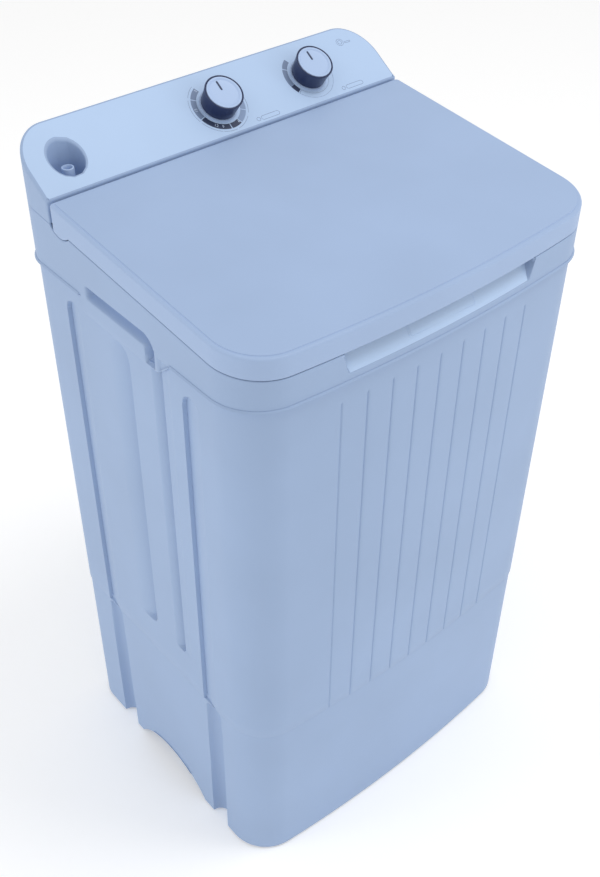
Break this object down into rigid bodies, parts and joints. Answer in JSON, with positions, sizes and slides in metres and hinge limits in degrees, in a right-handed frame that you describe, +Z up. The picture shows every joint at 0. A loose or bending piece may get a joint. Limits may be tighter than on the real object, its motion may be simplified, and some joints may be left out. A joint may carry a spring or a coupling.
{
  "type": "top load washing machine",
  "caption": "Single-tub top load washing machine: fluted plastic cabinet, sloped hinged lid, rear console with two knobs and a water inlet funnel, belt-driven pulsator.",
  "frame": {"origin": "middle of the footprint, on the floor that the rubber feet stand on", "axes": "+Z up, +X to the machine's right as seen from its front, +Y to the back"},
  "size_m": [0.5, 0.4212, 0.9278],
  "materials": {
    "lid_plastic": "satin moulded plastic, pale blue-grey",
    "console_plastic": "satin moulded plastic, pale blue",
    "shell_plastic": "satin moulded plastic, pale blue-grey",
    "knob_dark": "fine-textured dark blue plastic",
    "knob_light": "pale glossy plastic with a dark rim",
    "tub_plastic": "glossy white plastic",
    "pulsator_plastic": "glossy pale blue plastic",
    "white_plastic": "natural white plastic",
    "dark_rubber": "matt black rubber",
    "hose_rubber": "grey flexible hose",
    "steel": "zinc-plated steel",
    "cast": "die-cast aluminium",
    "motor_paint": "dark grey enamel",
    "wire_sleeve": "white vinyl sleeve"
  },
  "bodies": {
    "machine": {"hinge_pins": "steel", "console": "console_plastic", "timer_body": "white_plastic", "selector_body": "white_plastic", "console_screws": "steel", "inlet_nozzle": "console_plastic", "inlet_hose": "hose_rubber", "inlet_spout": "white_plastic", "top_frame": "shell_plastic", "blank_plate": "console_plastic", "cabinet": "shell_plastic", "base": "shell_plastic", "base_screws": "steel", "rubber_feet": "dark_rubber", "tub": "tub_plastic", "overflow_cover": "white_plastic", "bearings": "steel", "shaft_seal": "dark_rubber", "bearing_housing": "cast", "housing_screws": "steel", "drive_belt": "dark_rubber", "motor_housing": "motor_paint", "motor_plate": "steel", "motor_bushes": "dark_rubber", "motor_bolts": "steel", "capacitor": "white_plastic", "capacitor_clamp": "steel", "valve_body": "white_plastic", "valve_cap": "white_plastic", "valve_spring": "steel", "drain_hose": "hose_rubber", "drain_spigot": "hose_rubber", "rear_cover": "shell_plastic", "cover_screws": "steel", "cord_gland": "dark_rubber", "wiring_harness": "wire_sleeve"},
    "lid": {"lid": "lid_plastic"},
    "timer": {"timer_knob": "knob_dark", "timer_cap": "knob_light", "timer_shaft": "steel"},
    "selector": {"selector_knob": "knob_dark", "selector_cap": "knob_light", "selector_shaft": "steel"},
    "drain_valve": {"valve_plunger": "dark_rubber", "valve_rod": "steel"},
    "agitator": {"pulsator": "pulsator_plastic", "pulsator_screw": "steel", "drive_shaft": "steel", "large_pulley": "cast"},
    "rotor": {"motor_rotor": "steel", "motor_pulley": "cast"}
  },
  "joints": [
    {"name": "lid_hinge", "type": "hinge", "parent": "machine", "child": "lid", "pos_m": [0, 0.115, 0.86432], "axis": [-1, 0, 0], "range_deg": [0, 95]},
    {"name": "timer_turn", "type": "hinge", "parent": "machine", "child": "timer", "pos_m": [0, 0.16799, 0.89617], "axis": [0, 0.5329, -0.8462], "range_deg": [0, 300]},
    {"name": "selector_turn", "type": "hinge", "parent": "machine", "child": "selector", "pos_m": [0.135, 0.16799, 0.89617], "axis": [0, -0.5329, 0.8462], "range_deg": [0, 90]},
    {"name": "valve_lift", "type": "slide", "parent": "machine", "child": "drain_valve", "axis": [0, 0, 1], "range_m": [0, 0.012], "deforming": ["valve_spring"]},
    {"name": "motor_spin", "type": "hinge", "parent": "machine", "child": "rotor", "pos_m": [0.13, -0.02765, 0.14], "axis": [0, 0, 1], "continuous": true},
    {"name": "pulsator_spin", "type": "hinge", "parent": "machine", "child": "agitator", "pos_m": [0, -0.02765, 0.29], "axis": [0, 0, 1], "continuous": true}
  ],
  "couplings": [
    {"joint": "valve_lift", "follows": "selector_turn", "m_per_rad": 0.0076394},
    {"joint": "pulsator_spin", "follows": "motor_spin", "ratio": 0.3253}
  ]
}
